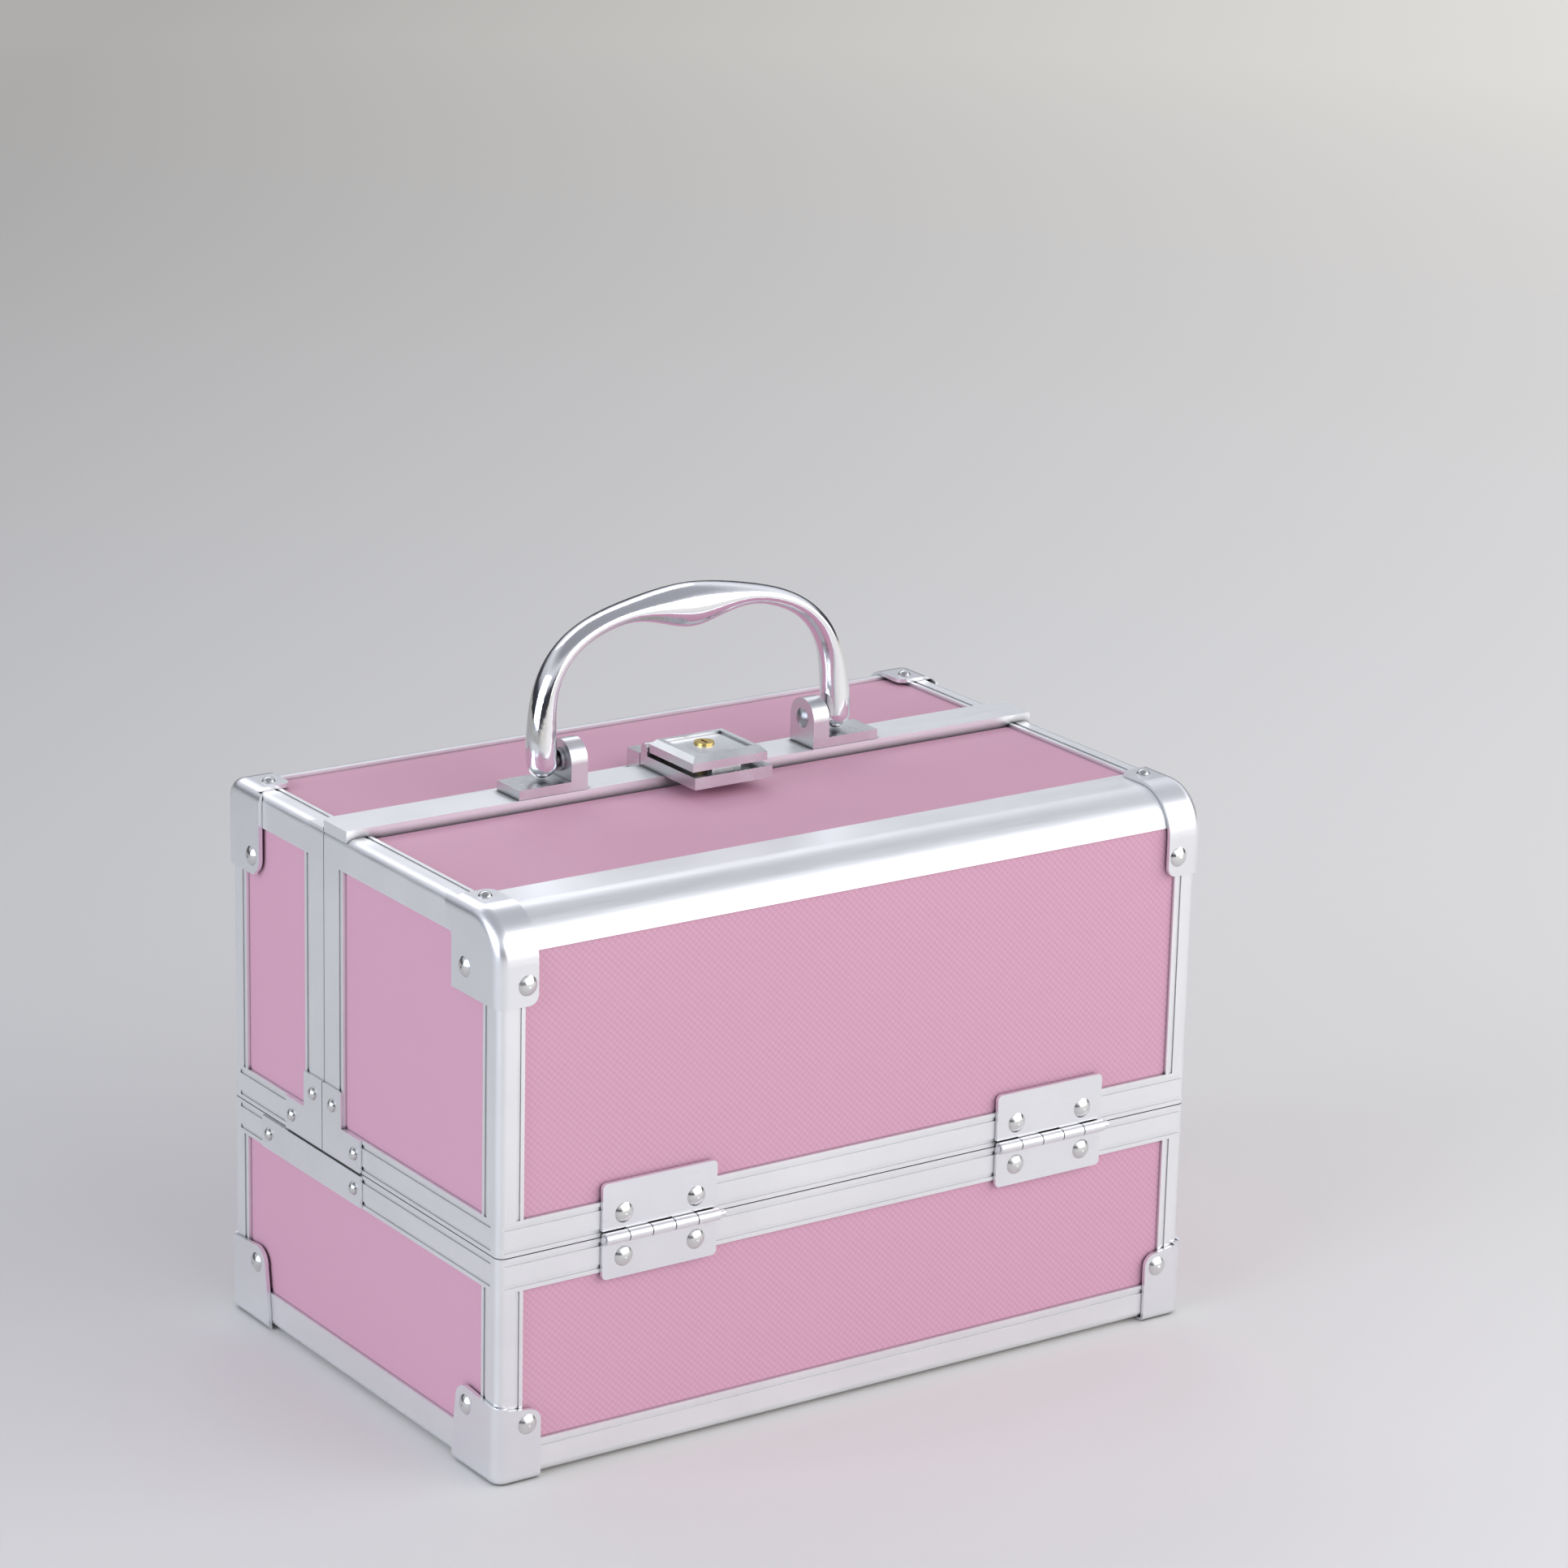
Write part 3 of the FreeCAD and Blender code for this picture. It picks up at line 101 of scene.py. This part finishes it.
# Trays, lining and lock face: how far their colour fades, over how much of them, and their relief
TRAY_FADED = 1.8
TRAY_FADED_SHARE = 0.6
TRAY_ROUGH = (0.42, 0.56)
TRAY_SPECULAR = 0.4
LEATHER_DEPTH = 0.06 * MM
FLOCK_FADED = 2.2
FLOCK_FADED_SHARE = 0.7
FLOCK_ROUGH = 0.92
FLOCK_SHEEN = 0.35
FLOCK_SHEEN_ROUGH = 0.5
PILE_DEPTH = 0.15 * MM
BRASS_DEEP_SHARE = 0.25
BRASS_ROUGH = (0.16, 0.30)
TURNED_DEPTH = 0.01 * MM

# Edges
SMOOTH_UP_TO = math.radians(32)
BEVEL_FROM = math.radians(40)
BEVEL_STEPS = 2
BEVELS = {"caps": 0.55, "leaves": 0.30, "brackets": 0.35, "latch": 0.35, "tray": 0.4, "arms": 0.2,
          "rails": 0.30, "profile": 0.25, "strip": 0.40, "posts": 0.25, "plates": 0.25}   # widths in mm
RUNS_ALONG = {"rails_end": "y", "posts": "z", "end_top_profiles": "y", "seam_strips": "z"}

# Camera
CAMERA_AT = Vector((-0.80995, -1.20897, 0.61589))
CAMERA_AZIMUTH = math.radians(34.59)
CAMERA_ELEVATION = math.radians(17.16)
CAMERA_ROLL = math.radians(1.36)
CAMERA_LENS = 119.38         # millimetres, on a square frame
CAMERA_FRAME = 36

# Floor: darker towards the back left as painted shade, pale towards the front right as painted light, and
# lit by itself far away
FLOOR_HALF = 6.0
SLOPE_X = 0.75
SLOPE_Y = 0.65
SLOPE_DARK = -0.75
SLOPE_LIGHT = 0.35
FAR_FROM = 0.8
FAR_TO = 2.4
FAR_GLOW = 0.86
PAPER_ROUGH = 0.85
PAPER_SPECULAR = 0.15

# Room: brightness from straight down (0) to straight up (1), and its strength on the left and right
ROOM_STOPS = ((0.0, (0.50, 0.50, 0.50)), (0.47, (0.35, 0.35, 0.37)), (0.50, (0.05, 0.05, 0.06)),
              (0.61, (0.07, 0.07, 0.09)), (0.68, (0.70, 0.72, 0.78)), (0.80, (0.92, 0.94, 1.0)),
              (0.90, (0.40, 0.41, 0.46)), (1.0, (0.38, 0.39, 0.44)))
ROOM_LEFT = 0.70
ROOM_RIGHT = 1.10

# Lamps: name, size, watts, place, what it points at, colour
LAMPS = (("key", (3.2, 1.7), 28.5, (1.0, -1.6, 0.90), (0, 0, 0.08), WHITE),
         ("left_fill", (1.4, 0.9), 13.5, (-1.5, -0.1, 0.60), (-0.1, 0, 0.08), (0.80, 0.88, 1.0)),
         ("back_top", (1.6, 0.6), 4.0, (0.2, 1.3, 1.3), (0, 0.3, 0.1), (0.95, 0.97, 1.0)))


# ---------------------------------------------------------------- node helpers

def scaled(colour, factor):
    return tuple(channel * factor for channel in colour)


class Nodes:
    """Short forms for building one material's node tree."""

    def __init__(self, name):
        self.material = bpy.data.materials.new(name)
        self.material.use_nodes = True
        self.tree = self.material.node_tree
        self.shader = self.tree.nodes["Principled BSDF"]
        self.coords = self.add("ShaderNodeTexCoord").outputs
        self.place = self.coords["Object"]

    def add(self, kind, **settings):
        node = self.tree.nodes.new(kind)
        for key, value in settings.items():
            setattr(node, key, value)
        return node

    def link(self, source, target):
        self.tree.links.new(source, target)

    def math(self, operation, *values, clamp=False):
        """Result of one operation on numbers and sockets."""
        node = self.add("ShaderNodeMath", operation=operation, use_clamp=clamp)
        for socket, value in zip(node.inputs, values):
            if isinstance(value, (int, float)):
                socket.default_value = value
            else:
                self.link(value, socket)
        return node.outputs[0]

    def axes(self, vector):
        node = self.add("ShaderNodeSeparateXYZ")
        self.link(vector, node.inputs[0])
        return node.outputs

    def noise(self, scale, detail=3.0, roughness=0.5, stretch=(1, 1, 1)):
        """Noise fixed to the piece; scale counts its features in a metre."""
        mapping = self.add("ShaderNodeMapping")
        mapping.inputs["Scale"].default_value = stretch
        self.link(self.place, mapping.inputs["Vector"])
        noise = self.add("ShaderNodeTexNoise")
        noise.inputs["Scale"].default_value = scale
        noise.inputs["Detail"].default_value = detail
        noise.inputs["Roughness"].default_value = roughness
        self.link(mapping.outputs[0], noise.inputs["Vector"])
        return noise.outputs["Fac"]

    def remap(self, value, low, high, from_low=0.3, from_high=0.7):
        """Value taken from one range, by default a noise's middle, to low..high."""
        node = self.add("ShaderNodeMapRange")
        node.inputs["From Min"].default_value = from_low
        node.inputs["From Max"].default_value = from_high
        node.inputs["To Min"].default_value = low
        node.inputs["To Max"].default_value = high
        self.link(value, node.inputs["Value"])
        return node.outputs["Result"]

    def mix_colour(self, factor, first, second):
        node = self.add("ShaderNodeMix", data_type="RGBA")
        self.link(factor, node.inputs["Factor"])
        for socket, value in ((node.inputs["A"], first), (node.inputs["B"], second)):
            if isinstance(value, tuple):
                socket.default_value = (*value, 1)
            else:
                self.link(value, socket)
        return node.outputs["Result"]

    def bump(self, height, distance, strength):
        node = self.add("ShaderNodeBump")
        node.inputs["Strength"].default_value = strength
        node.inputs["Distance"].default_value = distance
        self.link(height, node.inputs["Height"])
        return node.outputs["Normal"]

    def paint_crevice_shade(self, colour, shade_gaps):
        """Colour darkened in corners and narrow gaps: painted shade where the surface is closed in."""
        reach, closed, clear = shade_gaps
        node = self.add("ShaderNodeAmbientOcclusion", samples=8)
        node.inputs["Distance"].default_value = reach
        is_open = self.remap(node.outputs["AO"], 0.0, 1.0, closed, clear)
        return self.mix_colour(is_open, PAINTED_SHADE_COLOUR, colour)

    def finish(self, **values):
        """Set the shader's inputs, with _ for a space in their names, and return the material."""
        for key, value in values.items():
            socket = self.shader.inputs[key.replace("_", " ")]
            if isinstance(value, (int, float)):
                socket.default_value = value
            else:
                self.link(value, socket)
        return self.material


# ---------------------------------------------------------------- materials

def board_material():
    """Pink plastic skin with an embossed diamond grain outside, black flock inside; painted shade in the
    grain's hollows and in corners.
    """
    n = Nodes("board_skin")
    place = n.axes(n.place)
    normal = n.axes(n.coords["Normal"])
    on_end = n.math("GREATER_THAN", n.math("ABSOLUTE", normal[0]), FACING)
    on_top = n.math("GREATER_THAN", n.math("ABSOLUTE", normal[2]), FACING)

    def choose(chosen, first, second):
        """First value, or the second where chosen is 1."""
        return n.math("ADD", n.math("MULTIPLY", first, n.math("SUBTRACT", 1.0, chosen)),
                      n.math("MULTIPLY", second, chosen))

    across = choose(on_end, place[0], place[1])
    along = choose(on_top, place[2], place[1])
    turn = 2 * math.pi * math.sqrt(0.5) / EMBOSS_PITCH
    rows = n.math("COSINE", n.math("MULTIPLY", n.math("ADD", across, along), turn))
    beads = n.math("COSINE", n.math("MULTIPLY", n.math("SUBTRACT", across, along), turn))
    grain = n.math("ADD", n.math("MULTIPLY", rows, ROW_SHARE), n.math("MULTIPLY", beads, BEAD_SHARE))
    on_side = n.math("MAXIMUM", on_end, on_top)
    grain = n.math("MULTIPLY", grain, n.remap(on_side, 1.0, SIDE_GRAIN, 0.0, 1.0))
    fine = n.noise(scale=2600, detail=2.0)
    cloud = n.noise(scale=14, detail=2.0)
    wear = n.noise(scale=130)
    depth = n.math("MULTIPLY", grain, n.remap(wear, WORN_GRAIN, 1.0))
    # Darker pink in the grain's hollows is painted shade
    outer = n.mix_colour(n.remap(depth, 1.0, 0.0, DEEP_BELOW, PLAIN_ABOVE), PINK, PINK_SHADED_AND_CLOUDED)
    # Random cloudy tone towards the same darker pink
    outer = n.mix_colour(n.remap(cloud, 0.0, CLOUD_SHARE), outer, PINK_SHADED_AND_CLOUDED)

    in_x = n.math("LESS_THAN", n.math("ABSOLUTE", place[0]), LINED_X)
    in_y = n.math("LESS_THAN", n.math("ABSOLUTE", place[1]), LINED_Y)
    in_z = n.math("LESS_THAN", place[2], LINED_Z)
    lined = n.math("MULTIPLY", n.math("MULTIPLY", in_x, in_y), in_z)
    colour = n.mix_colour(lined, outer, LINING_BLACK)
    height = n.math("ADD", depth, n.math("MULTIPLY", fine, FINE_GRAIN))
    rough = n.math("ADD", n.remap(cloud, *SKIN_ROUGH), n.math("MULTIPLY", lined, LINED_ROUGHER))
    # Base colour carries painted shade in corners and gaps
    return n.finish(Base_Color=n.paint_crevice_shade(colour, BOARD_PAINTED_SHADE), Roughness=rough,
                    Specular_IOR_Level=SKIN_SPECULAR, Normal=n.bump(height, SKIN_DEPTH, strength=0.55))


def metal_material(name, colour, rough, along, line_strength, vary=0.07, marks=0.35, shade_gaps=METAL_PAINTED_SHADE):
    """Metal with fine drawn lines along one axis, slight clouding and a few rub marks, and painted shade
    in corners and gaps.
    """
    n = Nodes(name)
    stretch = tuple(LINE_STRETCH if axis == along else 1.0 for axis in "xyz")
    lines = n.noise(scale=2200, roughness=0.6, stretch=stretch)
    cloud = n.noise(scale=30, roughness=0.55)
    rubs = n.noise(scale=260, detail=4.0, roughness=0.7)
    base = n.mix_colour(n.remap(cloud, 0.0, WORN_SHARE), colour, scaled(colour, WORN_COLOUR))
    marked = n.remap(rubs, 0.0, marks, from_low=0.60, from_high=0.80)
    rub_marks = n.math("MULTIPLY", marked, RUB_ROUGHER)
    roughness = n.math("ADD", n.remap(lines, rough - vary, rough + vary), rub_marks, clamp=True)
    # Base colour carries painted shade in corners and gaps
    return n.finish(Base_Color=n.paint_crevice_shade(base, shade_gaps), Metallic=METALLIC, Roughness=roughness,
                    Normal=n.bump(lines, LINE_DEPTH, line_strength))


def plated_material(name, colour, rough, shade_gaps=PLATING_PAINTED_SHADE):
    """Plated metal: near mirror with faint smears and specks, and painted shade where it meets a plate.
    """
    n = Nodes(name)
    smears = n.noise(scale=60, detail=4.0, roughness=0.6, stretch=SMEAR_STRETCH)
    specks = n.noise(scale=900, detail=2.0)
    roughness = n.math("ADD", n.remap(smears, rough * SMEAR_SMOOTHEST, rough * SMEAR_ROUGHEST),
                       n.remap(specks, 0.0, SPECK_ROUGHER, from_low=0.62, from_high=0.75))
    plating = n.mix_colour(n.remap(smears, 0.0, SMEAR_SHARE), colour, scaled(colour, SMEAR_COLOUR))
    # Base colour carries painted shade where the plating meets a plate
    return n.finish(Base_Color=n.paint_crevice_shade(plating, shade_gaps), Metallic=1.0, Roughness=roughness,
                    Normal=n.bump(smears, SMEAR_DEPTH, strength=0.25))


def tray_material():
    """Black moulded plastic with a leather grain."""
    n = Nodes("tray_moulding")
    leather = n.add("ShaderNodeTexVoronoi")
    leather.inputs["Scale"].default_value = 900
    n.link(n.place, leather.inputs["Vector"])
    cloud = n.noise(scale=40)
    faded = n.remap(cloud, 0.0, TRAY_FADED_SHARE)
    return n.finish(Base_Color=n.mix_colour(faded, TRAY_BLACK, scaled(TRAY_BLACK, TRAY_FADED)),
                    Roughness=n.remap(cloud, *TRAY_ROUGH), Specular_IOR_Level=TRAY_SPECULAR,
                    Normal=n.bump(leather.outputs["Distance"], LEATHER_DEPTH, strength=0.5))


def lining_material():
    """Black flock with a soft nap."""
    n = Nodes("flock_lining")
    pile = n.noise(scale=3500, roughness=0.7)
    faded = n.remap(n.noise(scale=35), 0.0, FLOCK_FADED_SHARE)
    return n.finish(Base_Color=n.mix_colour(faded, LINING_BLACK, scaled(LINING_BLACK, FLOCK_FADED)),
                    Roughness=FLOCK_ROUGH, Sheen_Weight=FLOCK_SHEEN, Sheen_Roughness=FLOCK_SHEEN_ROUGH,
                    Normal=n.bump(pile, PILE_DEPTH, strength=0.6))


def brass_material():
    """Turned brass of the lock's face."""
    n = Nodes("lock_brass_face")
    turned = n.noise(scale=1400, roughness=0.6)
    return n.finish(Base_Color=n.mix_colour(n.remap(turned, 0.0, BRASS_DEEP_SHARE), BRASS, BRASS_DEEP),
                    Metallic=1.0, Roughness=n.remap(turned, *BRASS_ROUGH),
                    Normal=n.bump(turned, TURNED_DEPTH, strength=0.4))


board = board_material()
frame_metal = {axis: metal_material("frame_drawn_" + axis, ALUMINIUM, 0.40, axis, 0.15) for axis in "xyz"}
# The strip takes a wider painted shade, which darkens its side face by the board
strip_metal = metal_material("strip_drawn", ALUMINIUM, 0.40, "x", 0.15, shade_gaps=STRIP_PAINTED_SHADE)
cap_metal = metal_material("cap_pressed", STEEL, 0.30, "z", 0.0, vary=0.004, marks=0.2)
leaf_metal = metal_material("leaf_rolled", STEEL, 0.32, "x", 0.08, vary=0.05)
strap_metal = metal_material("strap_zinc", ZINC, 0.34, "z", 0.30, vary=0.08, marks=0.6)
# Rivets take a wide painted shade round the foot of each head
rivet_metal = plated_material("rivet_nickel", NICKEL, 0.20, RIVET_PAINTED_SHADE)
chrome = plated_material("handle_plating", CHROME, 0.10)
latch_metal = plated_material("latch_plating", LATCH_PLATING, 0.24)
pin_shaded_metal = plated_material("pin_steel", PIN_STEEL_DARKENED_AS_SHADE, 0.26)
tray_plastic = tray_material()
flock = lining_material()
brass = brass_material()


def material_for(name):
    """Material of a CAD node from what its name says it is."""
    if "panel" in name:
        return board
    if "rivets" in name:
        return rivet_metal
    if name.endswith("top_strip"):
        return strip_metal
    if name.endswith("_caps"):
        return cap_metal
    if "hinge" in name:
        return leaf_metal
    if name.endswith("end_brackets") or name == "base_end_plates":
        return leaf_metal
    if name == "handle":
        return chrome
    if name == "handle_pins":
        return pin_shaded_metal
    if name.startswith("latch") or name == "handle_brackets":
        return latch_metal
    if name == "lock_cylinder":
        return brass
    if name.endswith("_tray"):
        return tray_plastic
    if name.endswith("lining"):
        return flock
    if "arms" in name or "pivots" in name:
        return strap_metal
    for words, axis in RUNS_ALONG.items():
        if words in name:
            return frame_metal[axis]
    return frame_metal["x"]


def bevel_width(name):
    """Width of the broken edges of a CAD node in metres, or none."""
    return next((width * MM for words, width in BEVELS.items() if words in name), None)


def finish_node(name, piece):
    """New material, smooth curved faces and lightly broken edges on one CAD node."""
    for slot in piece.material_slots:
        slot.material = material_for(name)
    piece.data.shade_smooth()
    piece.data.set_sharp_from_angle(angle=SMOOTH_UP_TO)
    width = bevel_width(name)
    if width:
        bevel = piece.modifiers.new("broken_edges", "BEVEL")
        bevel.width = width
        bevel.segments = BEVEL_STEPS
        bevel.limit_method = "ANGLE"
        bevel.angle_limit = BEVEL_FROM
        bevel.use_clamp_overlap = True
        bevel.harden_normals = True


for node_name, node_piece in nodes.items():
    finish_node(node_name, node_piece)


# ---------------------------------------------------------------- camera, floor and light

def add_to_scene(name, data):
    thing = bpy.data.objects.new(name, data)
    bpy.context.scene.collection.objects.link(thing)
    return thing


def make_camera():
    data = bpy.data.cameras.new("camera")
    data.lens = CAMERA_LENS
    data.sensor_width = CAMERA_FRAME
    camera = add_to_scene("camera", data)
    flat = math.cos(CAMERA_ELEVATION)
    back = Vector((-math.sin(CAMERA_AZIMUTH) * flat, -math.cos(CAMERA_AZIMUTH) * flat,
                   math.sin(CAMERA_ELEVATION)))
    level = (-back).cross(Vector((0, 0, 1))).normalized()
    upright = level.cross(-back)
    right = math.cos(CAMERA_ROLL) * level + math.sin(CAMERA_ROLL) * upright
    top = math.cos(CAMERA_ROLL) * upright - math.sin(CAMERA_ROLL) * level
    turn = Matrix((right, top, back)).transposed()
    camera.matrix_world = Matrix.Translation(CAMERA_AT) @ turn.to_4x4()
    bpy.context.scene.camera = camera


def floor_material():
    """Matt paper, painted darker to the back left and paler to the front right as painted shade and
    light, which shines by itself far away where the camera or a mirror sees it.
    """
    n = Nodes("floor_paper")
    axes = n.axes(n.place)
    slope = n.math("SUBTRACT", n.math("MULTIPLY", axes[0], SLOPE_X), n.math("MULTIPLY", axes[1], SLOPE_Y))
    # Painted shade to the back left, painted light to the front right
    paper = n.mix_colour(n.remap(slope, 0.0, 1.0, SLOPE_DARK, SLOPE_LIGHT), FLOOR_PAINTED_SHADE, FLOOR_PAINTED_LIGHT)
    distance = n.add("ShaderNodeVectorMath", operation="LENGTH")
    n.link(n.place, distance.inputs[0])
    far = n.remap(distance.outputs["Value"], 0.0, 1.0, FAR_FROM, FAR_TO)
    path = n.add("ShaderNodeLightPath").outputs
    mirrored = n.math("MAXIMUM", path["Is Glossy Ray"], path["Is Transmission Ray"])
    seen = n.math("MAXIMUM", path["Is Camera Ray"], mirrored)
    glow = n.add("ShaderNodeEmission")
    n.link(paper, glow.inputs["Color"])
    glow.inputs["Strength"].default_value = FAR_GLOW
    mix = n.add("ShaderNodeMixShader")
    n.link(n.math("MULTIPLY", far, seen), mix.inputs[0])
    n.link(n.shader.outputs[0], mix.inputs[1])
    n.link(glow.outputs[0], mix.inputs[2])
    n.link(mix.outputs[0], n.tree.nodes["Material Output"].inputs["Surface"])
    return n.finish(Base_Color=paper, Roughness=PAPER_ROUGH, Specular_IOR_Level=PAPER_SPECULAR)


def make_floor():
    mesh = bpy.data.meshes.new("floor")
    corners = [(-FLOOR_HALF, -FLOOR_HALF, 0), (FLOOR_HALF, -FLOOR_HALF, 0),
               (FLOOR_HALF, FLOOR_HALF, 0), (-FLOOR_HALF, FLOOR_HALF, 0)]
    mesh.from_pydata(corners, [], [(0, 1, 2, 3)])
    mesh.materials.append(floor_material())
    add_to_scene("floor", mesh)


def add_lamp(name, size, watts, location, target, colour):
    data = bpy.data.lights.new(name, "AREA")
    data.shape = "RECTANGLE"
    data.size, data.size_y = size
    data.energy = watts
    data.color = colour
    lamp = add_to_scene(name, data)
    lamp.location = location
    lamp.rotation_euler = (Vector(target) - Vector(location)).to_track_quat("-Z", "Y").to_euler()


def make_room():
    """Pale room: dim at the skyline, bright above it, softer overhead, and darker on the left."""
    world = bpy.data.worlds.new("room")
    bpy.context.scene.world = world
    world.use_nodes = True
    tree = world.node_tree
    tree.nodes.clear()
    link = tree.links.new
    coords = tree.nodes.new("ShaderNodeTexCoord")
    axes = tree.nodes.new("ShaderNodeSeparateXYZ")
    link(coords.outputs["Generated"], axes.inputs[0])
    ramp = tree.nodes.new("ShaderNodeValToRGB")
    elements = ramp.color_ramp.elements
    while len(elements) < len(ROOM_STOPS):
        elements.new(0.5)
    for element, (position, colour) in zip(elements, ROOM_STOPS):
        element.position = position
        element.color = (*colour, 1)
    height = tree.nodes.new("ShaderNodeMapRange")
    height.inputs["From Min"].default_value = -1.0
    link(axes.outputs[2], height.inputs["Value"])
    link(height.outputs["Result"], ramp.inputs[0])
    side = tree.nodes.new("ShaderNodeMapRange")
    side.inputs["From Min"].default_value = -1.0
    side.inputs["To Min"].default_value = ROOM_LEFT
    side.inputs["To Max"].default_value = ROOM_RIGHT
    link(axes.outputs[0], side.inputs["Value"])
    light = tree.nodes.new("ShaderNodeBackground")
    link(ramp.outputs[0], light.inputs["Color"])
    link(side.outputs["Result"], light.inputs["Strength"])
    out = tree.nodes.new("ShaderNodeOutputWorld")
    link(light.outputs[0], out.inputs["Surface"])


make_camera()
make_floor()
make_room()
for lamp in LAMPS:
    add_lamp(*lamp)

bpy.context.scene.view_settings.view_transform = "Standard"
